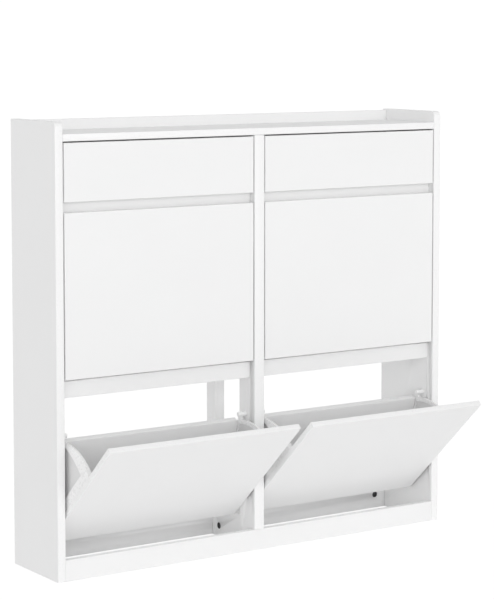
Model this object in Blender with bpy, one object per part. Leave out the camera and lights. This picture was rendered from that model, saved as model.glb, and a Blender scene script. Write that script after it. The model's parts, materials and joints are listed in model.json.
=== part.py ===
"""A slim two-column shoe cabinet: two drawers over four tilt-out shoe bins, in white laminated board.

Lengths are metres and +Z is up. The origin is on the floor at the middle of the cabinet's footprint,
+X runs to the cabinet's right and the front faces -Y. The two lower bins stand open, against their stop pegs.
Below, x counts from the cabinet's middle, y from its front plane towards the wall, and z from the floor.
"""

from math import asin, cos, pi, radians, sin, tan

import bmesh
import bpy
from mathutils import Matrix, Vector

# Whole cabinet
WIDTH = 1.000
DEPTH = 0.192
HEIGHT = 0.948

# Board thicknesses
SIDE_T = 0.018
POST_T = 0.025
BOARD_T = 0.015
FLAP_T = 0.012
DRAWER_SIDE_T = 0.012
DRAWER_BOTTOM_T = 0.004

GAP = 0.0003  # between boards that are screwed or dowelled together
OPEN_JOINT = 0.001  # the wider joints, at the bottom rung's front end and at a bin's back wall's ends
EASE = 0.0008  # eased edge of a laminated board
FRONT_GAP_X = 0.003  # beside a flap or a drawer front
CORNER_R = 0.012  # rounded top front corner of a side panel
RAIL_SETBACK = 0.018  # front faces of the cross rails and grip rails behind the front plane

# Heights in the front
PLINTH_H = 0.045
FLAP_H = 0.343
FLAP_LOWER_Z = 0.050
FLAP_UPPER_Z = 0.419
CROSS_RAIL_Z = (0.379, 0.414)
GRIP_RAIL_Z = (0.747, 0.797)
DRAWER_FRONT_Z = (0.784, 0.905)
TOP_Z = (0.908, 0.923)
GALLERY_TOP = 0.945

# Ladder-shaped divider and back boards
FRONT_POST_DEPTH = 0.060
BACK_POST_DEPTH = 0.034
BACK_BOARD_H = 0.066
BACK_RAIL_H = 0.060
MIDDLE_RUNG_Z = (0.380, 0.440)

# Tilt mechanism, about each flap's pivot
PIVOT_Y = 0.0185
PIVOT_UP = 0.093  # above the flap's lower edge
OPEN_ANGLE = radians(47.4)
PLATE_W = 0.009  # an end plate, across its borders
PLATE_GAP_X = 0.005  # between the carcass and an end plate
RIM_R = 0.143
RIM_REAR_ANGLE = radians(62.0)  # rear end of the rim, behind the vertical, bin closed
LIP_ANGLES = (radians(54.8), radians(57.6))
LIP_ROOT = radians(0.6)
LIP_R = 0.158
LEG_DEPTH = 0.0215  # an end plate's solid border along the flap
PLATE_FOOT_Z = -0.088
PLATE_PAST_WALL = 0.003
WALL_BORDER = 0.018  # an end plate's border along the back wall
POCKET_FOOT_Z = -0.067
OUTER_POCKET_DEPTH = 0.004
INNER_POCKET_DEPTH = 0.003
CROWN_Z = -0.085  # centre of the outer pocket's flat front curve
CROWN_R = 0.200
CROWN_END = radians(24.5)
OUTER_POCKET_R = 0.138
OUTER_POCKET_ANGLES = (radians(45.4), radians(56.2))
INNER_POCKET_R = 0.134
INNER_POCKET_END = radians(57.1)
FOOT_REACH = 0.020  # screw feet of an end plate, from its outer face
FOOT_T = 0.003
FEET_Z = ((-0.060, -0.036), (0.118, 0.142))
ARC_STEPS = 22
TRUNNION_R = 0.005
TRUNNION_BORE_R = 0.0054
TRUNNION_L = 0.0065  # inside the carcass
BORE_DEPTH = 0.008
PEG_R = 0.005
PEG_L = 0.022
PEG_AT = (0.0145, 0.155)  # behind and above the pivot

# Boards of a bin, about the pivot, bin closed
BACK_WALL_LEAN = radians(28.7)
BACK_WALL_TOP = (0.1315, 0.070)
BACK_WALL_L = 0.180
BACK_WALL_T = 0.015
BIN_FLOOR_Z = (-0.085, -0.070)

# Drawer box and its runners
DRAWER_BOX_Z = (0.806, 0.886)
DRAWER_BOX_REAR = 0.165
DRAWER_SIDE_GAP_X = 0.013
DRAWER_BOTTOM_UP = 0.006
DRAWER_BACK_TOP = 0.880
RUNNER_Y = (0.036, 0.172)
RUNNER_T = 0.002
RUNNER_LEDGE = 0.0235
RUNNER_H = 0.034

# Cam locks
CAM_R = 0.0075
CAM_DEPTH = 0.012
CAM_CLEARANCE = 0.0003
CAM_SUNK = 0.0005
CAM_SLOT = (0.009, 0.0016, 0.0016)  # length, width and depth of each stroke of its cross-shaped recess
RUNG_CAM_AT = (0.151, 0.024)
BOARD_CAM_FROM_SIDE = 0.029
BOARD_CAM_Z = 0.032

ROUND_STEPS = 24
CUT_PAST = 0.001  # how far a cutter starts outside the face that it cuts

SIDE_X = WIDTH / 2 - SIDE_T  # inner face of a side panel
POST_X = POST_T / 2
OPENING_W = SIDE_X - POST_X
COLUMNS = {"left": -(SIDE_X + POST_X) / 2, "right": (SIDE_X + POST_X) / 2}
ROWS = {"lower": (FLAP_LOWER_Z, OPEN_ANGLE), "upper": (FLAP_UPPER_Z, 0.0)}
FLAP_BACK_Y = FLAP_T - PIVOT_Y  # the flap's inner face, as seen from the pivot
LINKED = bpy.context.scene.collection


def clear_scene():
    for obj in list(bpy.data.objects):
        bpy.data.objects.remove(obj, do_unlink=True)


def make_material(name, colour, roughness, metallic=0.0):
    material = bpy.data.materials.new(name)
    material.use_nodes = True
    shader = material.node_tree.nodes["Principled BSDF"]
    shader.inputs["Base Color"].default_value = (*colour, 1.0)
    shader.inputs["Roughness"].default_value = roughness
    shader.inputs["Metallic"].default_value = metallic
    return material


def make_empty(name, location, parent=None, turned=0.0):
    empty = bpy.data.objects.new(name, None)
    LINKED.objects.link(empty)
    empty.parent = parent
    empty.location = location
    empty.rotation_euler = (turned, 0.0, 0.0)
    return empty


def finish_object(name, bm, location, parent, look):
    """Turns a bmesh into an object with its own copy of the material. Round stretches are shaded smooth."""
    bmesh.ops.recalc_face_normals(bm, faces=bm.faces)
    mesh = bpy.data.meshes.new(name)
    bm.to_mesh(mesh)
    bm.free()
    mesh.shade_smooth()
    mesh.set_sharp_from_angle(angle=radians(30))
    own = look.copy()
    own.name = f"{name}_{look.name}"
    mesh.materials.append(own)
    obj = bpy.data.objects.new(name, mesh)
    LINKED.objects.link(obj)
    obj.parent = parent
    obj.location = location
    return obj


def ease_edges(obj, width=EASE):
    bevel = obj.modifiers.new("eased_edges", "BEVEL")
    bevel.width = width
    bevel.segments = 2
    bevel.limit_method = "ANGLE"
    bevel.angle_limit = radians(40)


def combine(obj, tool, operation):
    """Cuts or joins with a hidden tool object."""
    tool.hide_render = True
    tool.display_type = "WIRE"
    boolean = obj.modifiers.new(tool.name, "BOOLEAN")
    boolean.operation = operation
    boolean.object = tool


def board(name, x, y, z, parent, look, eased=True):
    """A rectangular board between two planes along each axis, with its origin in its middle."""
    size = Vector((x[1] - x[0], y[1] - y[0], z[1] - z[0]))
    bm = bmesh.new()
    bmesh.ops.create_cube(bm, size=1.0, matrix=Matrix.Diagonal((*size, 1.0)))
    obj = finish_object(name, bm, Vector((x[0], y[0], z[0])) + size / 2, parent, look)
    if eased:
        ease_edges(obj)
    return obj


def profile(name, x, outline, parent, look):
    """A prism along X with a (y, z) outline."""
    bm = bmesh.new()
    face = bm.faces.new([bm.verts.new((0.0, y, z)) for y, z in outline])
    made = bmesh.ops.extrude_face_region(bm, geom=[face])["geom"]
    moved = [v for v in made if isinstance(v, bmesh.types.BMVert)]
    bmesh.ops.translate(bm, vec=(x[1] - x[0], 0.0, 0.0), verts=moved)
    return finish_object(name, bm, (x[0], 0.0, 0.0), parent, look)


def cylinder(name, start, end, radius, parent, look):
    """A round bar from one point to another, both under the parent, with its origin in its middle."""
    start = Vector(start)
    axis = Vector(end) - start
    turn = Vector((0.0, 0.0, 1.0)).rotation_difference(axis).to_matrix().to_4x4()
    bm = bmesh.new()
    bmesh.ops.create_cone(
        bm,
        cap_ends=True,
        segments=ROUND_STEPS,
        radius1=radius,
        radius2=radius,
        depth=axis.length,
        matrix=turn,
    )
    return finish_object(name, bm, start + axis / 2, parent, look)


def arc(centre, radius, start, end, steps):
    """Points (y, z) on an arc. Angles run from straight up towards the back."""
    angles = [start + (end - start) * step / steps for step in range(steps + 1)]
    return [(centre[0] + radius * sin(a), centre[1] + radius * cos(a)) for a in angles]


def pivot_z(row):
    return ROWS[row][0] + PIVOT_UP


def bore_trunnions(obj, x_face, inward, parent, look):
    """Blind bores for the bins' trunnions, in the face at x_face of a panel. inward points into it."""
    for row in ROWS:
        start = (x_face - inward * CUT_PAST, PIVOT_Y, pivot_z(row))
        end = (x_face + inward * BORE_DEPTH, PIVOT_Y, pivot_z(row))
        tool = cylinder(f"cut_{obj.name}_{row}_{inward:+d}", start, end, TRUNNION_BORE_R, parent, look)
        combine(obj, tool, "DIFFERENCE")


def side_panels(carcass, laminate):
    corner = arc((CORNER_R, HEIGHT - CORNER_R), CORNER_R, -pi / 2, 0.0, 8)
    outline = [(0.0, 0.0), *corner, (DEPTH, HEIGHT), (DEPTH, 0.0)]
    for side, sign in (("left", -1), ("right", 1)):
        x = sorted((sign * SIDE_X, sign * WIDTH / 2))
        panel = profile(f"side_panel_{side}", x, outline, carcass, laminate)
        ease_edges(panel)
        bore_trunnions(panel, sign * SIDE_X, sign, carcass, laminate)


def top_and_plinth(carcass, laminate):
    span = (-SIDE_X + GAP, SIDE_X - GAP)
    back = (DEPTH - BOARD_T, DEPTH)
    board("top_panel", span, (0.0, back[0] - GAP), TOP_Z, carcass, laminate)
    board("gallery_rail", span, back, (TOP_Z[0], GALLERY_TOP), carcass, laminate)
    board("plinth_front", span, (0.0, BOARD_T), (0.0, PLINTH_H), carcass, laminate)
    rail_z = (TOP_Z[0] - GAP - BACK_RAIL_H, TOP_Z[0] - GAP)
    board("back_rail_top", span, back, rail_z, carcass, laminate)


def divider(carcass, laminate):
    """The ladder between the columns: a front post that straddles the plinth, a back post, and two rungs."""
    foot_y = BOARD_T + GAP
    foot_z = PLINTH_H + GAP
    top = TOP_Z[0] - GAP
    rear_y = FRONT_POST_DEPTH
    outline = [(0.0, foot_z), (0.0, top), (rear_y, top), (rear_y, 0.0), (foot_y, 0.0), (foot_y, foot_z)]
    front_post = profile("divider_front_post", (-POST_X, POST_X), outline, carcass, laminate)
    ease_edges(front_post)
    bore_trunnions(front_post, -POST_X, 1, carcass, laminate)
    bore_trunnions(front_post, POST_X, -1, carcass, laminate)

    back_y = (DEPTH - BACK_POST_DEPTH, DEPTH)
    back_z = (BACK_BOARD_H + GAP, top - BACK_RAIL_H - GAP)
    board("divider_back_post", (-POST_X, POST_X), back_y, back_z, carcass, laminate)

    rung_x = (-BOARD_T / 2, BOARD_T / 2)
    low_y = (rear_y + OPEN_JOINT, DEPTH - BOARD_T - GAP)
    low_rung = board("divider_rung_bottom", rung_x, low_y, (0.0, BACK_BOARD_H), carcass, laminate)
    cam_start = (rung_x[0], *RUNG_CAM_AT)
    cam_lock("cam_lock_rung", low_rung, cam_start, Vector((1.0, 0.0, 0.0)), carcass, laminate)
    high_y = (rear_y + GAP, back_y[0] - GAP)
    board("divider_rung_middle", rung_x, high_y, MIDDLE_RUNG_Z, carcass, laminate)


def back_board(carcass, laminate):
    span = (-SIDE_X + GAP, SIDE_X - GAP)
    front_y = DEPTH - BOARD_T
    bottom = board("back_board_bottom", span, (front_y, DEPTH), (0.0, BACK_BOARD_H), carcass, laminate)
    for side, sign in (("left", -1), ("right", 1)):
        start = (sign * (SIDE_X - BOARD_CAM_FROM_SIDE), front_y, BOARD_CAM_Z)
        cam_lock(f"cam_lock_board_{side}", bottom, start, Vector((0.0, 1.0, 0.0)), carcass, laminate)


def cam_lock(name, host, start, inward, carcass, laminate):
    """A dark zinc cam with a cross-shaped recess, sunk in a blind bore of its board."""
    start = Vector(start)
    mouth = start - inward * CUT_PAST
    bore = cylinder(f"cut_{name}", mouth, start + inward * CAM_DEPTH, CAM_R, carcass, laminate)
    combine(host, bore, "DIFFERENCE")
    face = start + inward * CAM_SUNK
    end = start + inward * (CAM_DEPTH - CAM_CLEARANCE)
    zinc = bpy.data.materials["dark_zinc"]
    cam = cylinder(name, face, end, CAM_R - CAM_CLEARANCE, carcass, zinc)
    length, width, depth = CAM_SLOT
    up = Vector((0.0, 0.0, 1.0))
    directions = (inward.cross(up), up)
    for number, (along, across) in enumerate((directions, directions[::-1])):
        reach = [abs(v) for v in along * length + across * width + inward * depth * 2]
        bm = bmesh.new()
        bmesh.ops.create_cube(bm, size=1.0, matrix=Matrix.Diagonal((*reach, 1.0)))
        slot = finish_object(f"cut_{name}_slot_{number}", bm, face, carcass, zinc)
        combine(cam, slot, "DIFFERENCE")


def rails(carcass, laminate):
    """Per column, the rail between the two flaps and the recessed rail behind the grip under the drawer."""
    y = (RAIL_SETBACK, RAIL_SETBACK + BOARD_T)
    half = OPENING_W / 2 - GAP
    for column, x in COLUMNS.items():
        board(f"cross_rail_{column}", (x - half, x + half), y, CROSS_RAIL_Z, carcass, laminate)
        board(f"grip_rail_{column}", (x - half, x + half), y, GRIP_RAIL_Z, carcass, laminate)


def runner(name, x_wall, inward, carcass, steel):
    """An angle of sheet steel on the carcass, whose ledge carries the lower edge of a drawer's side."""
    ledge_top = DRAWER_BOX_Z[0] - GAP
    ledge_bottom = ledge_top - RUNNER_T
    near, thin, far = (x_wall + inward * d for d in (GAP, RUNNER_T, RUNNER_LEDGE))
    outline = [
        (near, ledge_bottom),
        (far, ledge_bottom),
        (far, ledge_top),
        (thin, ledge_top),
        (thin, ledge_bottom + RUNNER_H),
        (near, ledge_bottom + RUNNER_H),
    ]
    bm = bmesh.new()
    face = bm.faces.new([bm.verts.new((x, 0.0, z)) for x, z in outline])
    made = bmesh.ops.extrude_face_region(bm, geom=[face])["geom"]
    moved = [v for v in made if isinstance(v, bmesh.types.BMVert)]
    bmesh.ops.translate(bm, vec=(0.0, RUNNER_Y[1] - RUNNER_Y[0], 0.0), verts=moved)
    finish_object(name, bm, (0.0, RUNNER_Y[0], 0.0), carcass, steel)


def drawer(column, x_mid, carcass, laminate, steel):
    """A drawer with an overlaid front, and its two runners. It slides forward."""
    slide = make_empty(f"drawer_{column}_slide", (x_mid, 0.0, 0.0), carcass)
    half_front = OPENING_W / 2 - FRONT_GAP_X
    half_box = OPENING_W / 2 - DRAWER_SIDE_GAP_X
    half_inside = half_box - DRAWER_SIDE_T
    start = BOARD_T + GAP
    back_y = (DRAWER_BOX_REAR - DRAWER_SIDE_T, DRAWER_BOX_REAR)
    bottom_z = DRAWER_BOX_Z[0] + DRAWER_BOTTOM_UP
    between = (-half_inside + GAP, half_inside - GAP)
    front_x = (-half_front, half_front)
    board(f"drawer_{column}_front", front_x, (0.0, BOARD_T), DRAWER_FRONT_Z, slide, laminate)
    for name, sign in (("left", -1), ("right", 1)):
        x = sorted((sign * half_inside, sign * half_box))
        board(f"drawer_{column}_side_{name}", x, (start, DRAWER_BOX_REAR), DRAWER_BOX_Z, slide, laminate)
    board(f"drawer_{column}_back", between, back_y, (bottom_z, DRAWER_BACK_TOP), slide, laminate)
    bottom = (bottom_z, bottom_z + DRAWER_BOTTOM_T)
    board(f"drawer_{column}_bottom", between, (start, back_y[0] - GAP), bottom, slide, laminate, eased=False)
    for name, sign in (("left", -1), ("right", 1)):
        runner(f"drawer_runner_{column}_{name}", x_mid + sign * OPENING_W / 2, -sign, carcass, steel)


def back_wall_point(along, inside):
    """A point (y, z) of the bin's back wall, down from its top edge and in from its outer face."""
    lean = BACK_WALL_LEAN
    y = BACK_WALL_TOP[0] - along * sin(lean) - inside * cos(lean)
    z = BACK_WALL_TOP[1] - along * cos(lean) + inside * sin(lean)
    return y, z


def wall_y(z, inside):
    """How far behind the pivot the back wall is at a height, in a plane that far in from its outer face."""
    top = back_wall_point(0.0, inside)
    return top[0] - (top[1] - z) * tan(BACK_WALL_LEAN)


def sink_pocket(plate, x, rim, leg_y, pivot, plastic):
    """A pocket in an end plate, between its rim and its borders along the flap, back wall and foot."""
    foot = [(wall_y(POCKET_FOOT_Z, WALL_BORDER), POCKET_FOOT_Z), (leg_y, POCKET_FOOT_Z)]
    tool = profile(f"cut_{plate.name}_{len(plate.modifiers)}", sorted(x), [*rim, *foot], pivot, plastic)
    combine(plate, tool, "DIFFERENCE")


def end_plate(name, x_outer, inward, pivot, plastic):
    """A moulded sector plate: a frame round a thin web, with a stop lip, two screw feet and a trunnion."""
    centre = (0.0, 0.0)
    flap_y = FLAP_BACK_Y + GAP
    rim = arc(centre, RIM_R, asin(flap_y / RIM_R), LIP_ANGLES[0] - LIP_ROOT, ARC_STEPS)
    lip = arc(centre, LIP_R, *LIP_ANGLES, 1)
    rear = arc(centre, RIM_R, LIP_ANGLES[1], RIM_REAR_ANGLE, 2)
    foot = [back_wall_point(BACK_WALL_L + PLATE_PAST_WALL, 0.0), (flap_y, PLATE_FOOT_Z)]
    x_inner = x_outer + inward * PLATE_W
    plate = profile(name, sorted((x_outer, x_inner)), [*rim, *lip, *rear, *foot], pivot, plastic)

    leg_y = flap_y + LEG_DEPTH
    crown = arc((leg_y, CROWN_Z), CROWN_R, 0.0, CROWN_END, ARC_STEPS // 2)
    outer_rim = [*crown, *arc(centre, OUTER_POCKET_R, *OUTER_POCKET_ANGLES, 4)]
    outer_x = (x_outer - inward * CUT_PAST, x_outer + inward * OUTER_POCKET_DEPTH)
    sink_pocket(plate, outer_x, outer_rim, leg_y, pivot, plastic)
    inner_rim = arc(centre, INNER_POCKET_R, asin(leg_y / INNER_POCKET_R), INNER_POCKET_END, ARC_STEPS // 2)
    inner_x = (x_inner - inward * INNER_POCKET_DEPTH, x_inner + inward * CUT_PAST)
    sink_pocket(plate, inner_x, inner_rim, leg_y, pivot, plastic)

    for number, z in enumerate(FEET_Z):
        x = sorted((x_inner - inward * CUT_PAST, x_outer + inward * FOOT_REACH))
        y = (flap_y, flap_y + FOOT_T)
        combine(plate, board(f"join_{name}_foot_{number}", x, y, z, pivot, plastic, eased=False), "UNION")
    trunnion_end = x_outer - inward * (PLATE_GAP_X + TRUNNION_L)
    ends = ((trunnion_end, *centre), (x_outer + inward * PLATE_W / 2, *centre))
    combine(plate, cylinder(f"join_{name}_trunnion", *ends, TRUNNION_R, pivot, plastic), "UNION")


def bin_parts(row, column, x_mid, carcass, laminate, plastic):
    """A flap that carries a shoe bin, on its pivot empty, and the two pegs that stop it when it is open."""
    name = f"flap_{row}_{column}"
    z_pivot = pivot_z(row)
    pivot = make_empty(f"{name}_pivot", (x_mid, PIVOT_Y, z_pivot), carcass, ROWS[row][1])
    half = OPENING_W / 2 - FRONT_GAP_X
    flap_y = (-PIVOT_Y, FLAP_BACK_Y)
    flap_z = (-PIVOT_UP, FLAP_H - PIVOT_UP)
    board(f"{name}_front", (-half, half), flap_y, flap_z, pivot, laminate)

    plate_x = OPENING_W / 2 - PLATE_GAP_X
    half_wall = plate_x - PLATE_W - OPEN_JOINT
    half_floor = plate_x - PLATE_W - GAP
    top_edge = [back_wall_point(0.0, inside) for inside in (0.0, BACK_WALL_T)]
    foot_edge = [back_wall_point(BACK_WALL_L, inside) for inside in (BACK_WALL_T, 0.0)]
    wall_x = (-half_wall, half_wall)
    ease_edges(profile(f"{name}_back_wall", wall_x, top_edge + foot_edge, pivot, laminate))
    low, high = BIN_FLOOR_Z
    front = FLAP_BACK_Y + GAP
    rear = [(wall_y(z, BACK_WALL_T) - GAP, z) for z in (high, low)]
    floor = [(front, low), (front, high), *rear]
    profile(f"{name}_floor", (-half_floor, half_floor), floor, pivot, laminate)
    for side, sign in (("left", -1), ("right", 1)):
        end_plate(f"{name}_end_plate_{side}", sign * plate_x, -sign, pivot, plastic)
        x_wall = x_mid + sign * (OPENING_W / 2 - GAP)
        at = (PIVOT_Y + PEG_AT[0], z_pivot + PEG_AT[1])
        tip = x_wall - sign * PEG_L
        peg = cylinder(f"stop_peg_{row}_{column}_{side}", (x_wall, *at), (tip, *at), PEG_R, carcass, plastic)
        ease_edges(peg)


def build():
    clear_scene()
    laminate = make_material("white_laminate", (0.86, 0.86, 0.86), 0.42)
    plastic = make_material("white_plastic", (0.88, 0.88, 0.88), 0.32)
    steel = make_material("white_steel", (0.80, 0.80, 0.80), 0.35, 0.2)
    make_material("dark_zinc", (0.05, 0.05, 0.05), 0.40, 0.6)
    carcass = make_empty("carcass", (0.0, -DEPTH / 2, 0.0))
    side_panels(carcass, laminate)
    top_and_plinth(carcass, laminate)
    divider(carcass, laminate)
    back_board(carcass, laminate)
    rails(carcass, laminate)
    for column, x_mid in COLUMNS.items():
        drawer(column, x_mid, carcass, laminate, steel)
        for row in ROWS:
            bin_parts(row, column, x_mid, carcass, laminate, plastic)


build()
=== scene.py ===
"""The looks of the shoe cabinet: laminated boards with edge bands, moulded bin ends and metal fittings.

Lengths are metres in the row frame: +X to the cabinet's right, the front faces -Y, +Z up from the floor.
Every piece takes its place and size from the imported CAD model.
"""

from collections import namedtuple
import json
from math import asin, atan2, cos, pi, radians, sin, sqrt, tan

import bmesh
import bpy
from mathutils import Euler, Matrix, Vector

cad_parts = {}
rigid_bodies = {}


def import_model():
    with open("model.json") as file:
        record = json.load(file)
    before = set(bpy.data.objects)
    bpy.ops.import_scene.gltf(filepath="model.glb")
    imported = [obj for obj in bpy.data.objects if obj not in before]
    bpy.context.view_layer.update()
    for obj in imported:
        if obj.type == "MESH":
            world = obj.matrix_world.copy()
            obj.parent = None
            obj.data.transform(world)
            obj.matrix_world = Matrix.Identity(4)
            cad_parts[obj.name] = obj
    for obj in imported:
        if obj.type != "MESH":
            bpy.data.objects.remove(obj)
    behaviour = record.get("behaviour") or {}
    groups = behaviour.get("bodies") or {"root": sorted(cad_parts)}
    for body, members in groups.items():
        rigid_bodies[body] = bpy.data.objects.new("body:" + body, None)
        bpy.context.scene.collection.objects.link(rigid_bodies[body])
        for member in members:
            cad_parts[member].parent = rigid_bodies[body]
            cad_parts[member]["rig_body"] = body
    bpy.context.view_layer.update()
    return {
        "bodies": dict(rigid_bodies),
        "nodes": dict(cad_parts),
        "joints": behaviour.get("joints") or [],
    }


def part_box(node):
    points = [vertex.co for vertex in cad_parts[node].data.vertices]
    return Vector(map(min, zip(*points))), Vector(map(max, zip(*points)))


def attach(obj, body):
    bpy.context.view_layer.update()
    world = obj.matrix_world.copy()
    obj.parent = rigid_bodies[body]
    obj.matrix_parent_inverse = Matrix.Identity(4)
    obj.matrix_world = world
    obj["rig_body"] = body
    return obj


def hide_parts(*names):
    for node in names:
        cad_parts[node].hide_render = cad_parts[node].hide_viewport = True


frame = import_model()

# Camera
CAMERA_AT = (-2.5175, -3.7891, 1.1366)
CAMERA_YAW = 33.935  # degrees, from +Y towards +X
CAMERA_PITCH = 4.833  # degrees below level
CAMERA_LENS = 124.74  # mm, on a 36 mm sensor along the picture's long side
CAMERA_SHIFT_Y = -0.16
CAMERA_CLIP = (0.05, 100.0)
SENSOR = 36.0  # mm

# Light: an even room with a darker ceiling, and two broad soft lights from the front and the front left
HORIZON_STRENGTH = 0.85
ZENITH_STRENGTH = 0.60
SOFT_LIGHTS = {  # azimuth and elevation in degrees, strength
    "front_left": (-40.0, 10.0, 0.40),
    "front": (0.0, 4.0, 0.66),
}
SOFT_ANGLE = radians(40)
FLOOR_BOUNCE = 0.085  # light that the floor sends up besides what falls on it
FLOOR_GLOW = 0.85  # how far the floor that the camera sees is paper white
FLOOR_WHITE = 1.08
FLOOR_SIZE = 30.0
FLOOR_DROP = 0.0005  # keeps the floor clear of the cabinet's underside
ROOM_WHITE = 1.03  # the room as the camera sees it

# Mesh work
SMOOTH_ANGLE = radians(35)  # gentler edges are shaded smooth and stay unbevelled
EDGE_ANGLE = radians(40)
CUT_OVERSHOOT = 0.002  # how far a cutter starts outside the surface
WELD_DISTANCE = 0.00002

# Boards
BAND_T = 0.001  # an edge band, seen as a rim round each laminated face
SEAM_W = 0.0003  # between the laminate and its edge band
SEAM_DEPTH = 0.00015
EDGE_R = 0.0008
HARDBOARD_EDGE_R = 0.0003
PANEL_CORNER_R = 0.012  # top front corner of a side panel
JOINT_GAP = 0.0003
TRUNNION_BORE_R = 0.0054
BORE_DEPTH = 0.008

# End plates, about a bin's pivot, bin closed. Angles run from straight up towards the back.
FLAP_BACK_Y = -0.0062
PLATE_W = 0.009
RIM_R = 0.143
RIM_REAR_ANGLE = radians(62.0)
RIM_SLOPE_X = 0.004  # the rim's sloped band, across the plate
RIM_CHAMFER = 0.002  # where the rim has no sloped band
BAND_LAND = 0.0006  # flat between the sloped band and the pocket
LIP_ANGLES = (radians(54.8), radians(57.6))
LIP_ROOT = radians(0.6)  # how far before the lip its foot starts
LIP_R = 0.158
LEG_Y = 0.0153  # rear side of the border along the flap
WALL_TOP = (0.1315, 0.070)
WALL_LEAN = radians(28.7)
WALL_BORDER = 0.018
PLATE_REACH = 0.183  # down the back wall
PLATE_FOOT_Z = -0.088
POCKET_FOOT_Z = -0.067
OUTER_POCKET_DEPTH = 0.004
INNER_POCKET_DEPTH = 0.003
CROWN_Z = -0.085
CROWN_R = 0.200
CROWN_END = radians(24.5)
OUTER_POCKET_R = 0.138
OUTER_POCKET_ANGLES = (radians(45.4), radians(56.2))
INNER_POCKET_R = 0.134
INNER_POCKET_END = radians(57.1)
FOOT_REACH = 0.020
FOOT_T = 0.003
FOOT_ROOT = 0.001  # how deep a foot sits in the plate
FEET_Z = ((-0.060, -0.036), (0.118, 0.142))
TRUNNION_R = 0.005
TRUNNION_REACH = 0.0115
ARC_STEPS = 60
MOULDED_EDGE_R = 0.0006
FACE_TOLERANCE = 0.0002
RIM_TOLERANCE = 0.0001

# Fittings
PEG_DOME = 0.0016
CAM_BORE = (0.0075, 0.012)  # radius and depth
CAM_SLOT = (0.009, 0.0016, 0.0016)  # length, width and depth of each stroke of its cross
CAM_EDGE_R = 0.0005
SCREW_HEAD_R = 0.0036
SCREW_HEAD_RISE = 0.0012
SCREW_SKIRT = 0.0004  # how far the head's side reaches into the foot
SCREW_SLOT = (0.0032, 0.0007, 0.0008)  # as CAM_SLOT
RUNNER_EDGE_R = 0.0006

Board = namedtuple("Board", "axes centre size")
scene = bpy.context.scene


# ---------------------------------------------------------------- mesh helpers


def add_object(name, bm, matrix, *looks):
    """Turns a bmesh into an object at a place, with round stretches shaded smooth."""
    mesh = bpy.data.meshes.new(name)
    bmesh.ops.recalc_face_normals(bm, faces=bm.faces)
    bm.to_mesh(mesh)
    bm.free()
    mesh.shade_smooth()
    mesh.set_sharp_from_angle(angle=SMOOTH_ANGLE)
    for look in looks:
        mesh.materials.append(look)
    obj = bpy.data.objects.new(name, mesh)
    scene.collection.objects.link(obj)
    obj.matrix_world = matrix
    return obj


def prism(bm, outline, low, high):
    """Extrudes a flat outline between two heights and returns the two end faces."""
    start = bm.faces.new([bm.verts.new((x, y, low)) for x, y in outline])
    made = bmesh.ops.extrude_face_region(bm, geom=[start])["geom"]
    moved = [v for v in made if isinstance(v, bmesh.types.BMVert)]
    bmesh.ops.translate(bm, vec=(0.0, 0.0, high - low), verts=moved)
    end = next(f for f in made if isinstance(f, bmesh.types.BMFace) and len(f.verts) == len(outline))
    return start, end


def round_edges(bm, edges, radius, segments=3):
    bmesh.ops.bevel(
        bm,
        geom=edges,
        offset=radius,
        offset_type="OFFSET",
        segments=segments,
        profile=0.5,
        affect="EDGES",
        clamp_overlap=True,
    )


def sharp_edges(bm):
    return [e for e in bm.edges if len(e.link_faces) == 2 and e.calc_face_angle(0.0) > EDGE_ANGLE]


def cut(obj, cutter, operation="DIFFERENCE"):
    """Cuts a closed shape out of an object for good, or joins it, and takes the cutter away."""
    modifier = obj.modifiers.new("cut", "BOOLEAN")
    modifier.operation = operation
    modifier.object = cutter
    evaluated = obj.evaluated_get(bpy.context.evaluated_depsgraph_get())
    mesh = bpy.data.meshes.new_from_object(evaluated)
    mesh.name = obj.data.name
    obj.modifiers.clear()
    obj.data = mesh
    bpy.data.objects.remove(cutter)


def soften(obj, radius):
    """Rounds an object's sharp edges with a modifier."""
    bevel = obj.modifiers.new("soft_edges", "BEVEL")
    bevel.width = radius
    bevel.segments = 3
    bevel.limit_method = "ANGLE"
    bevel.angle_limit = SMOOTH_ANGLE
    bevel.use_clamp_overlap = True
    bevel.harden_normals = True


def cylinder(radius, length, segments):
    """A closed cylinder along Z, about its middle."""
    bm = bmesh.new()
    ends = {"radius1": radius, "radius2": radius}
    bmesh.ops.create_cone(bm, cap_ends=True, segments=segments, depth=length, **ends)
    return bm


def rod(name, start, end, radius, look, segments=32):
    """A plain round bar between two points."""
    start = Vector(start)
    axis = Vector(end) - start
    bm = cylinder(radius, axis.length, segments)
    turn = Vector((0.0, 0.0, 1.0)).rotation_difference(axis).to_matrix().to_4x4()
    return add_object(name, bm, Matrix.Translation(start + axis / 2) @ turn, look)


def cut_cross(piece, matrix, top_z, slot, look):
    """Sinks a cross into the top of a round piece. slot is each stroke's length, width and depth."""
    length, width, sunk = slot
    top = Matrix.Translation((0.0, 0.0, top_z))
    for x, y in ((length, width), (width, length)):
        stroke = bmesh.new()
        bmesh.ops.create_cube(stroke, size=1.0, matrix=top @ Matrix.Diagonal((x, y, sunk * 2, 1.0)))
        cut(piece, add_object("cutter", stroke, matrix, look))


def place(piece, node):
    """The piece stands for a CAD node, on that node's body."""
    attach(piece, frame["nodes"][node]["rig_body"])
    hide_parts(node)


# ---------------------------------------------------------------- materials


def new_material(name, colour, roughness, metallic=0.0):
    material = bpy.data.materials.new(name)
    material.use_nodes = True
    shader = material.node_tree.nodes["Principled BSDF"]
    shader.inputs["Base Color"].default_value = (*colour, 1.0)
    shader.inputs["Roughness"].default_value = roughness
    shader.inputs["Metallic"].default_value = metallic
    return material, material.node_tree, shader


def grey(tone):
    return (tone, tone, tone)


def add_node(tree, kind, **inputs):
    node = tree.nodes.new(kind)
    for key, value in inputs.items():
        node.inputs[key.replace("_", " ")].default_value = value
    return node


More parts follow.
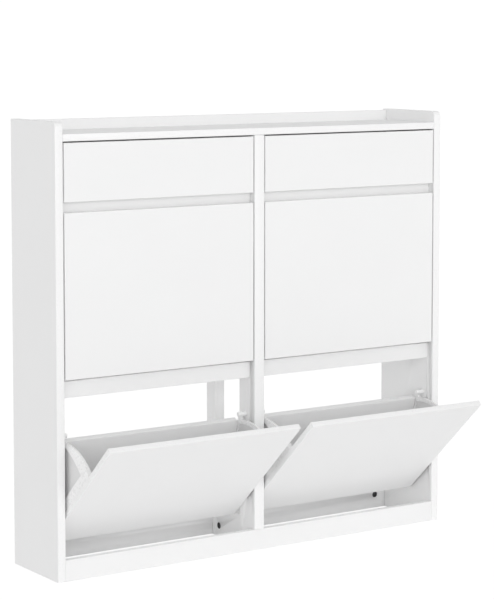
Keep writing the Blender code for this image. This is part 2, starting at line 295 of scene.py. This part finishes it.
def noise(tree, scale, detail=2.0, roughness=0.5, stretch=None):
    """A noise texture in the object's own coordinates. scale is per metre."""
    coordinates = tree.nodes.new("ShaderNodeTexCoord")
    texture = add_node(tree, "ShaderNodeTexNoise", Scale=scale, Detail=detail, Roughness=roughness)
    source = coordinates.outputs["Object"]
    if stretch:
        mapping = add_node(tree, "ShaderNodeMapping", Scale=stretch)
        tree.links.new(source, mapping.inputs["Vector"])
        source = mapping.outputs["Vector"]
    tree.links.new(source, texture.inputs["Vector"])
    return texture.outputs["Fac"]


def ramp(tree, factor, low, high, start=0.3, end=0.7):
    """Maps a factor to a value between low and high."""
    mapped = tree.nodes.new("ShaderNodeMapRange")
    for key, value in (("From Min", start), ("From Max", end), ("To Min", low), ("To Max", high)):
        mapped.inputs[key].default_value = value
    tree.links.new(factor, mapped.inputs["Value"])
    return mapped.outputs["Result"]


def mix_colours(tree, factor, first, second):
    mixer = tree.nodes.new("ShaderNodeMix")
    mixer.data_type = "RGBA"
    tree.links.new(factor, mixer.inputs["Factor"])
    for socket, value in (("A", first), ("B", second)):
        target = next(s for s in mixer.inputs if s.name == socket and s.type == "RGBA")
        if hasattr(value, "links"):
            tree.links.new(value, target)
        else:
            target.default_value = (*value, 1.0)
    return next(s for s in mixer.outputs if s.type == "RGBA")


def vary_colour(tree, shader, factor, darker, lighter):
    mixed = mix_colours(tree, ramp(tree, factor, 0.0, 1.0), darker, lighter)
    tree.links.new(mixed, shader.inputs["Base Color"])


def vary_roughness(tree, shader, factor, low, high):
    tree.links.new(ramp(tree, factor, low, high), shader.inputs["Roughness"])


def bump(tree, shader, *layers):
    """Adds relief. Each layer is a height factor and its depth in metres."""
    normal = None
    for height, depth in layers:
        node = add_node(tree, "ShaderNodeBump", Strength=1.0, Distance=depth)
        tree.links.new(height, node.inputs["Height"])
        if normal:
            tree.links.new(normal, node.inputs["Normal"])
        normal = node.outputs["Normal"]
    tree.links.new(normal, shader.inputs["Normal"])


def laminate_material():
    """Melamine laminate: a satin white film with a pearl texture and a faint unevenness from the press."""
    material, tree, shader = new_material("laminate_white", grey(0.92), 0.42)
    cloud = noise(tree, 5.0, detail=3.0)
    speck = noise(tree, 420.0, detail=2.0)
    base = mix_colours(tree, ramp(tree, cloud, 0.0, 1.0), grey(0.914), grey(0.926))
    tint = mix_colours(tree, ramp(tree, speck, 0.0, 0.35), base, (0.905, 0.906, 0.908))
    tree.links.new(tint, shader.inputs["Base Color"])
    vary_roughness(tree, shader, noise(tree, 900.0), 0.36, 0.48)
    bump(tree, shader, (noise(tree, 1300.0, detail=1.0), 0.00002), (noise(tree, 60.0), 0.00004))
    return material


def edge_band_material():
    """ABS edge band: a little glossier and brighter than the laminate, the extra brightness partly its own
    tone and partly painted highlight along the edges, with faint extrusion lines.
    """
    material, tree, shader = new_material("edge_band_white", grey(0.955), 0.28)
    lines = noise(tree, 30.0, detail=2.0, stretch=(1.0, 1.0, 60.0))
    vary_colour(tree, shader, lines, grey(0.949), grey(0.961))
    vary_roughness(tree, shader, noise(tree, 300.0), 0.26, 0.36)
    bump(tree, shader, (lines, 0.00002))
    return material


def plastic_material(name, tone, roughness, grain_depth):
    """Injection-moulded plastic with an eroded grain and slow flow marks."""
    material, tree, shader = new_material(name, grey(tone), roughness)
    flow = noise(tree, 25.0, detail=2.0)
    vary_colour(tree, shader, flow, grey(tone - 0.008), grey(tone + 0.008))
    vary_roughness(tree, shader, noise(tree, 160.0), roughness - 0.05, roughness + 0.06)
    bump(tree, shader, (noise(tree, 2200.0, detail=1.0), grain_depth), (flow, 0.00005))
    return material


def powder_coat_material():
    """Powder-coated sheet steel with orange peel."""
    material, tree, shader = new_material("powder_coat_white", grey(0.80), 0.35)
    peel = noise(tree, 700.0, detail=1.0)
    vary_colour(tree, shader, peel, grey(0.79), grey(0.81))
    vary_roughness(tree, shader, noise(tree, 90.0), 0.30, 0.40)
    bump(tree, shader, (peel, 0.00003))
    return material


def zinc_material():
    """Dark zinc casting with a grainy skin and rubbed high spots."""
    material, tree, shader = new_material("dark_zinc_cast", grey(0.05), 0.40, 0.6)
    grain = noise(tree, 1500.0, detail=3.0)
    vary_colour(tree, shader, grain, (0.035, 0.035, 0.037), grey(0.075))
    vary_roughness(tree, shader, grain, 0.50, 0.32)
    bump(tree, shader, (grain, 0.00004))
    return material


def hardboard_material():
    """Hardboard: brown pressed fibre."""
    material, tree, shader = new_material("hardboard_brown", (0.32, 0.21, 0.12), 0.75)
    fibre = noise(tree, 500.0, detail=4.0)
    vary_colour(tree, shader, fibre, (0.24, 0.155, 0.09), (0.40, 0.27, 0.165))
    vary_roughness(tree, shader, fibre, 0.85, 0.65)
    bump(tree, shader, (fibre, 0.00008))
    return material


def screw_steel_material():
    """Bright zinc-plated steel with fine turning marks."""
    material, tree, shader = new_material("zinc_plated_steel", (0.62, 0.62, 0.61), 0.30, 1.0)
    marks = noise(tree, 3000.0, detail=2.0)
    vary_colour(tree, shader, marks, (0.56, 0.56, 0.55), (0.68, 0.68, 0.67))
    vary_roughness(tree, shader, marks, 0.24, 0.36)
    bump(tree, shader, (marks, 0.00001))
    return material


LAMINATE = laminate_material()
EDGE_BAND = edge_band_material()
# The white plastic is set a little high, partly as painted highlight on the bin ends' rim bands. The darker,
# rougher copy is painted shade on the web's pocket floors.
PLASTIC = plastic_material("moulded_plastic_white", 0.96, 0.28, 0.000005)
PLASTIC_WEB_PAINTED_SHADE = plastic_material("moulded_plastic_textured_painted_shade", 0.80, 0.55, 0.00001)
POWDER_COAT = powder_coat_material()
ZINC = zinc_material()
HARDBOARD = hardboard_material()
SCREW_STEEL = screw_steel_material()


# ---------------------------------------------------------------- boards


def board_frame(node):
    """A board's own axes, centre and size. The axes are a matrix's columns, the last across its thickness."""
    mesh = frame["nodes"][node].data
    thick = max(mesh.polygons, key=lambda face: face.area).normal.copy()
    if abs(thick.x) > 0.5:
        first = Vector((0.0, 1.0, 0.0))
        thick = Vector((1.0, 0.0, 0.0))
    else:
        first = Vector((1.0, 0.0, 0.0))
    axes = Matrix((first, thick.cross(first), thick)).transposed()
    local = [axes.transposed() @ v.co for v in mesh.vertices]
    low = Vector(min(p[i] for p in local) for i in range(3))
    high = Vector(max(p[i] for p in local) for i in range(3))
    return Board(axes, axes @ ((low + high) / 2), high - low)


def rectangle(size):
    x, y = size.x / 2, size.y / 2
    return [(-x, -y), (x, -y), (x, y), (-x, y)]


def rounded_corner_rectangle(size, radius, steps=12):
    """A rectangle whose corner at low x and high y is round."""
    x, y = size.x / 2, size.y / 2
    turns = [pi / 2 + pi / 2 * step / steps for step in range(steps + 1)]
    corner = [(-x + radius + radius * cos(a), y - radius + radius * sin(a)) for a in turns]
    return [(-x, -y), (x, -y), (x, y), *corner]


def notched_rectangle(size, notch_x, notch_y):
    """A rectangle with its corner at low x and low y cut out."""
    x, y = size.x / 2, size.y / 2
    return [(-x + notch_x, -y), (x, -y), (x, y), (-x, y), (-x, -y + notch_y), (-x + notch_x, -y + notch_y)]


def laminated_board(node, outline=None):
    """A board with laminate on both faces, an edge band all round, and a fine seam where they meet."""
    board = board_frame(node)
    bm = bmesh.new()
    faces = prism(bm, outline or rectangle(board.size), -board.size.z / 2, board.size.z / 2)
    for face in bm.faces:
        face.material_index = 1
    rims = sharp_edges(bm)
    insets = ((BAND_T, 0.0), (SEAM_W / 2, -SEAM_DEPTH), (SEAM_W / 2, SEAM_DEPTH))
    for face in faces:
        for inset, rise in insets:
            bmesh.ops.inset_region(bm, faces=[face], thickness=inset, depth=rise, use_even_offset=True)
        face.material_index = 0
    round_edges(bm, rims, EDGE_R)
    matrix = Matrix.Translation(board.centre) @ board.axes.to_4x4()
    piece = add_object(f"{node}_board", bm, matrix, LAMINATE, EDGE_BAND)
    place(piece, node)
    return piece


def bore(piece, point, inward, radius, depth):
    """A blind hole from a point on the surface."""
    start = Vector(point) - inward * CUT_OVERSHOOT
    cut(piece, rod("cutter", start, Vector(point) + inward * depth, radius, LAMINATE))


def side_panel(side, sign):
    """A full-height side with a rounded top front corner and a bore for each bin's trunnion."""
    node = f"side_panel_{side}"
    board = board_frame(node)
    piece = laminated_board(node, rounded_corner_rectangle(board.size, PANEL_CORNER_R))
    inner_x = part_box(node)[0 if sign > 0 else 1].x
    for joint in frame["joints"]:
        if joint["type"] == "hinge" and joint["child"].endswith(side):
            x, y, z = joint["pos_m"]
            bore(piece, (inner_x, y, z), Vector((sign, 0.0, 0.0)), TRUNNION_BORE_R, BORE_DEPTH)


def front_post():
    """The divider's front post, notched over the plinth, with trunnion bores in both faces."""
    node = "divider_front_post"
    board = board_frame(node)
    low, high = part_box(node)
    plinth_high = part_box("plinth_front")[1]
    notch = (plinth_high.y + JOINT_GAP - low.y, plinth_high.z + JOINT_GAP - low.z)
    piece = laminated_board(node, notched_rectangle(board.size, *notch))
    for joint in frame["joints"]:
        if joint["type"] == "hinge":
            x, y, z = joint["pos_m"]
            sign, face_x = (1, low.x) if x < 0 else (-1, high.x)
            bore(piece, (face_x, y, z), Vector((sign, 0.0, 0.0)), TRUNNION_BORE_R, BORE_DEPTH)


def boards():
    """The boards with edge bands, apart from the two that hold the cam locks."""
    for side, sign in (("left", -1), ("right", 1)):
        side_panel(side, sign)
    front_post()
    plain = ["top_panel", "gallery_rail", "plinth_front", "back_rail_top"]
    plain += ["divider_back_post", "divider_rung_middle"]
    for column in ("left", "right"):
        plain += [f"cross_rail_{column}", f"grip_rail_{column}"]
        plain += [f"drawer_{column}_{part}" for part in ("front", "side_left", "side_right", "back")]
        for row in ("upper", "lower"):
            plain += [f"flap_{row}_{column}_{part}" for part in ("front", "back_wall")]
    for node in plain:
        laminated_board(node)


def bored_boards():
    """The two low boards that hold the cam locks."""
    for node in ("back_board_bottom", "divider_rung_bottom"):
        piece = laminated_board(node)
        low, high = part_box(node)
        for cam in [n for n in frame["nodes"] if n.startswith("cam_lock")]:
            cam_low, cam_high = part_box(cam)
            middle = (cam_low + cam_high) / 2
            if cam.endswith("rung") and node.startswith("divider"):
                bore(piece, (low.x, middle.y, middle.z), Vector((1.0, 0.0, 0.0)), *CAM_BORE)
            if "_board_" in cam and node.startswith("back"):
                bore(piece, (middle.x, low.y, middle.z), Vector((0.0, 1.0, 0.0)), *CAM_BORE)


def drawer_bottom(node):
    """Hardboard with a white upper face."""
    board = board_frame(node)
    bm = bmesh.new()
    faces = prism(bm, rectangle(board.size), -board.size.z / 2, board.size.z / 2)
    matrix = Matrix.Translation(board.centre) @ board.axes.to_4x4()
    for face in bm.faces:
        face.material_index = 1
    upper = max(faces, key=lambda face: (matrix @ face.calc_center_median()).z)
    upper.material_index = 0
    round_edges(bm, sharp_edges(bm), HARDBOARD_EDGE_R, 2)
    piece = add_object(f"{node}_board", bm, matrix, LAMINATE, HARDBOARD)
    place(piece, node)


def dress(node, look, edge_r):
    """A CAD node whose shape is right keeps it, with its edges a little rounded."""
    obj = frame["nodes"][node]
    obj.data.materials.clear()
    obj.data.materials.append(look)
    weld = obj.modifiers.new("weld", "WELD")
    weld.merge_threshold = WELD_DISTANCE
    soften(obj, edge_r)


# ---------------------------------------------------------------- moulded parts


def arc(centre, radius, start, end, steps):
    """Points (y, z) on an arc. Angles run from straight up towards the back."""
    angles = [start + (end - start) * step / steps for step in range(steps + 1)]
    return [(centre[0] + radius * sin(a), centre[1] + radius * cos(a)) for a in angles]


def wall_point(along, inside):
    """A point (y, z) of a bin's back wall, down from its top edge and in from its outer face."""
    y = WALL_TOP[0] - along * sin(WALL_LEAN) - inside * cos(WALL_LEAN)
    z = WALL_TOP[1] - along * cos(WALL_LEAN) + inside * sin(WALL_LEAN)
    return y, z


def wall_y(z, inside):
    """How far behind the pivot a plane of the back wall is at a height."""
    top = wall_point(0.0, inside)
    return top[0] - (top[1] - z) * tan(WALL_LEAN)


def plate_outline():
    """The whole plate (y, z): rim, stop lip, the rim behind it, down the back wall, and the foot."""
    centre = (0.0, 0.0)
    rim = arc(centre, RIM_R, asin(FLAP_BACK_Y / RIM_R), LIP_ANGLES[0] - LIP_ROOT, ARC_STEPS)
    lip = arc(centre, LIP_R, *LIP_ANGLES, 4)
    rear = arc(centre, RIM_R, LIP_ANGLES[1] + LIP_ROOT / 4, RIM_REAR_ANGLE, 3)
    return [*rim, *lip, *rear, wall_point(PLATE_REACH, 0.0), (FLAP_BACK_Y, PLATE_FOOT_Z)]


def band_foot_r(angle):
    """How far from the pivot the rim's sloped band ends, which is at the outer pocket's edge."""
    along = LEG_Y * sin(angle) + CROWN_Z * cos(angle)
    crown_r = along + sqrt(along ** 2 + CROWN_R ** 2 - LEG_Y ** 2 - CROWN_Z ** 2)
    return min(crown_r if angle < OUTER_POCKET_ANGLES[0] else OUTER_POCKET_R, RIM_R - RIM_CHAMFER)


def sloped_outline():
    """The plate's outline in its outer face, where the rim's band has sloped inwards as far as the pocket."""
    sloped = []
    for y, z in plate_outline():
        radius = sqrt(y * y + z * z)
        angle = atan2(y, z)
        if radius > RIM_R - RIM_TOLERANCE and z > 0:
            on_band = LEG_Y / RIM_R < sin(angle) < sin(LIP_ANGLES[0])
            foot_r = band_foot_r(angle) + BAND_LAND if on_band else radius - RIM_CHAMFER
            y, z = y * foot_r / radius, z * foot_r / radius
        sloped.append((y, z))
    return sloped


def loft(name, layers, look):
    """A solid through outlines of equal length. Each layer is an x and its (y, z) outline."""
    bm = bmesh.new()
    rings = [[bm.verts.new((x, y, z)) for y, z in outline] for x, outline in layers]
    for low, high in zip(rings, rings[1:]):
        for i in range(len(low)):
            bm.faces.new((low[i - 1], low[i], high[i], high[i - 1]))
    bm.faces.new(rings[0])
    bm.faces.new(rings[-1])
    return add_object(name, bm, Matrix(), look)


def end_plate(body, side, sign):
    """A moulded bin end: borders round a thin web, a sloped rim with a stop lip, feet and a trunnion."""
    node = f"{body}_end_plate_{side}"
    joint = next(j for j in frame["joints"] if j["child"] == body)
    low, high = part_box(node)
    foot_x = (low if sign > 0 else high).x
    outer_x = foot_x + sign * FOOT_REACH

    def at(depth):
        """x at a depth below the plate's outer face."""
        return outer_x - sign * depth

    full = plate_outline()
    layers = [(at(0.0), sloped_outline()), (at(RIM_SLOPE_X), full), (at(PLATE_W), full)]
    piece = loft(f"{node}_moulding", layers, PLASTIC)

    foot = [(wall_y(POCKET_FOOT_Z, WALL_BORDER), POCKET_FOOT_Z), (LEG_Y, POCKET_FOOT_Z)]
    crown = arc((LEG_Y, CROWN_Z), CROWN_R, 0.0, CROWN_END, ARC_STEPS // 2)
    outer = [*crown, *arc((0.0, 0.0), OUTER_POCKET_R, *OUTER_POCKET_ANGLES, 8), *foot]
    inner_start = asin(LEG_Y / INNER_POCKET_R)
    inner = [*arc((0.0, 0.0), INNER_POCKET_R, inner_start, INNER_POCKET_END, ARC_STEPS), *foot]
    outer_web, inner_web = OUTER_POCKET_DEPTH, PLATE_W - INNER_POCKET_DEPTH
    cut(piece, loft("cutter", [(at(-CUT_OVERSHOOT), outer), (at(outer_web), outer)], PLASTIC))
    cut(piece, loft("cutter", [(at(inner_web), inner), (at(PLATE_W + CUT_OVERSHOOT), inner)], PLASTIC))
    for z_low, z_high in FEET_Z:
        y_far = FLAP_BACK_Y + FOOT_T
        outline = [(FLAP_BACK_Y, z_low), (y_far, z_low), (y_far, z_high), (FLAP_BACK_Y, z_high)]
        foot_layers = [(at(PLATE_W - FOOT_ROOT), outline), (at(FOOT_REACH), outline)]
        cut(piece, loft("join", foot_layers, PLASTIC), "UNION")
    tip, root = (at(-TRUNNION_REACH), 0.0, 0.0), (at(PLATE_W / 2), 0.0, 0.0)
    cut(piece, rod("join", tip, root, TRUNNION_R, PLASTIC), "UNION")
    # The pocket floors of the web take the darker plastic: painted shade in the pockets.
    piece.data.materials.append(PLASTIC_WEB_PAINTED_SHADE)
    web_x = [at(outer_web), at(inner_web)]
    for face in piece.data.polygons:
        in_web_painted_shade = min(abs(face.center.x - x) for x in web_x) < FACE_TOLERANCE
        face.material_index = int(in_web_painted_shade and abs(face.normal.x) > 0.9)
    soften(piece, MOULDED_EDGE_R)
    turn = Matrix.Rotation(radians(-joint["range_deg"][0]), 4, "X")
    pivot = Matrix.Translation((0.0, joint["pos_m"][1], joint["pos_m"][2])) @ turn
    piece.matrix_world = pivot
    place(piece, node)
    outward = turn.to_3x3() @ Vector((0.0, 1.0, 0.0))
    for number, (z_low, z_high) in enumerate(FEET_Z):
        middle = Vector((at((PLATE_W + FOOT_REACH) / 2), FLAP_BACK_Y + FOOT_T, (z_low + z_high) / 2))
        screw(f"{node}_screw_{number}", pivot @ middle, outward, body)


def screw(name, point, outward, body):
    """A pan-head screw with a cross recess."""
    bm = bmesh.new()
    steps = 6
    leans = [pi / 2 * i / steps for i in range(steps)]
    dome = [(SCREW_HEAD_R * cos(a), SCREW_HEAD_RISE * sin(a)) for a in leans]
    rings = []
    turns = 24
    for radius, height in [(SCREW_HEAD_R, -SCREW_SKIRT), *dome]:
        angles = [2 * pi * step / turns for step in range(turns)]
        rings.append([bm.verts.new((radius * cos(a), radius * sin(a), height)) for a in angles])
    for low, high in zip(rings, rings[1:]):
        for i in range(turns):
            bm.faces.new((low[i - 1], low[i], high[i], high[i - 1]))
    bm.faces.new(rings[0])
    bm.faces.new(rings[-1])
    matrix = Matrix.Translation(point) @ outward.to_track_quat("Z", "Y").to_matrix().to_4x4()
    piece = add_object(name, bm, matrix, SCREW_STEEL)
    cut_cross(piece, matrix, SCREW_HEAD_RISE, SCREW_SLOT, SCREW_STEEL)
    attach(piece, body)


def stop_peg(node):
    """A round peg with domed ends."""
    low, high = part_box(node)
    middle = (low + high) / 2
    radius = (high.z - low.z) / 2
    bm = cylinder(radius, high.x - low.x, 40)
    round_edges(bm, sharp_edges(bm), PEG_DOME, 5)
    turn = Matrix.Rotation(pi / 2, 4, "Y")
    piece = add_object(f"{node}_pin", bm, Matrix.Translation(middle) @ turn, PLASTIC)
    place(piece, node)


def cam_lock(node):
    """A cast cam with a bevelled edge and a cross-shaped recess."""
    low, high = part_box(node)
    size = high - low
    middle = (low + high) / 2
    radius = size.z / 2
    outward = Vector((-1.0, 0.0, 0.0)) if node.endswith("rung") else Vector((0.0, -1.0, 0.0))
    depth = abs(size.dot(outward))
    bm = cylinder(radius, depth, 48)
    round_edges(bm, sharp_edges(bm), CAM_EDGE_R, 3)
    matrix = Matrix.Translation(middle) @ outward.to_track_quat("Z", "Y").to_matrix().to_4x4()
    piece = add_object(f"{node}_casting", bm, matrix, ZINC)
    cut_cross(piece, matrix, depth / 2, CAM_SLOT, ZINC)
    place(piece, node)


# ---------------------------------------------------------------- stage


def camera():
    data = bpy.data.cameras.new("camera")
    data.sensor_fit = "AUTO"
    data.sensor_width = SENSOR
    data.lens = CAMERA_LENS
    data.shift_y = CAMERA_SHIFT_Y
    data.clip_start, data.clip_end = CAMERA_CLIP
    obj = bpy.data.objects.new("camera", data)
    scene.collection.objects.link(obj)
    obj.location = CAMERA_AT
    obj.rotation_euler = Euler((radians(90 - CAMERA_PITCH), 0.0, radians(-CAMERA_YAW)))
    scene.camera = obj


def seen_by_camera(tree):
    """1 where the camera sees a surface itself, and 0 where its light falls on something else."""
    return tree.nodes.new("ShaderNodeLightPath").outputs["Is Camera Ray"]


def floor():
    """A pale floor that the camera sees as nearly white paper, with a faint contact shadow."""
    bm = bmesh.new()
    bmesh.ops.create_grid(bm, x_segments=1, y_segments=1, size=FLOOR_SIZE)
    look, tree, shader = new_material("floor_pale", grey(0.95), 0.9)
    shader.inputs["Emission Color"].default_value = (1.0, 1.0, 1.0, 1.0)
    shader.inputs["Emission Strength"].default_value = FLOOR_BOUNCE
    white = add_node(tree, "ShaderNodeEmission", Strength=FLOOR_WHITE)
    share = tree.nodes.new("ShaderNodeMath")
    share.operation = "MULTIPLY"
    share.inputs[1].default_value = FLOOR_GLOW
    tree.links.new(seen_by_camera(tree), share.inputs[0])
    mixer = tree.nodes.new("ShaderNodeMixShader")
    tree.links.new(share.outputs["Value"], mixer.inputs["Fac"])
    tree.links.new(shader.outputs["BSDF"], mixer.inputs[1])
    tree.links.new(white.outputs["Emission"], mixer.inputs[2])
    output = next(n for n in tree.nodes if n.type == "OUTPUT_MATERIAL")
    tree.links.new(mixer.outputs["Shader"], output.inputs["Surface"])
    obj = add_object("floor", bm, Matrix.Translation((0.0, 0.0, -FLOOR_DROP)), look)


def lights():
    """The room, which the camera sees as white, and the soft lights."""
    world = bpy.data.worlds.new("studio")
    world.use_nodes = True
    tree = world.node_tree
    background = tree.nodes["Background"]
    background.inputs["Color"].default_value = (1.0, 1.0, 1.0, 1.0)
    direction = tree.nodes.new("ShaderNodeTexCoord").outputs["Generated"]
    split = tree.nodes.new("ShaderNodeSeparateXYZ")
    tree.links.new(direction, split.inputs["Vector"])
    sky = ramp(tree, split.outputs["Z"], HORIZON_STRENGTH, ZENITH_STRENGTH, 0.0, 1.0)
    white = tree.nodes.new("ShaderNodeMix")
    tree.links.new(seen_by_camera(tree), white.inputs["Factor"])
    tree.links.new(sky, white.inputs["A"])
    white.inputs["B"].default_value = ROOM_WHITE
    tree.links.new(white.outputs["Result"], background.inputs["Strength"])
    scene.world = world
    for name, (azimuth, elevation, strength) in SOFT_LIGHTS.items():
        data = bpy.data.lights.new(name, "SUN")
        data.energy = strength
        data.angle = SOFT_ANGLE
        obj = bpy.data.objects.new(name, data)
        scene.collection.objects.link(obj)
        obj.rotation_euler = Euler((radians(90 - elevation), 0.0, radians(azimuth)))
    scene.view_settings.view_transform = "Standard"


# ---------------------------------------------------------------- the whole cabinet


def bin_ends():
    for body in frame["bodies"]:
        if body.startswith("flap"):
            for side, sign in (("left", -1), ("right", 1)):
                end_plate(body, side, sign)


def fittings():
    """Pegs, cam locks and drawer bottoms, and the CAD nodes that keep their shape."""
    for node in frame["nodes"]:
        if node.startswith("stop_peg"):
            stop_peg(node)
        if node.startswith("cam_lock"):
            cam_lock(node)
        if node.startswith("drawer") and node.endswith("_bottom"):
            drawer_bottom(node)
        if node.endswith("_floor"):
            dress(node, LAMINATE, EDGE_R)
        if node.startswith("drawer_runner"):
            dress(node, POWDER_COAT, RUNNER_EDGE_R)


camera()
lights()
floor()
boards()
bored_boards()
bin_ends()
fittings()
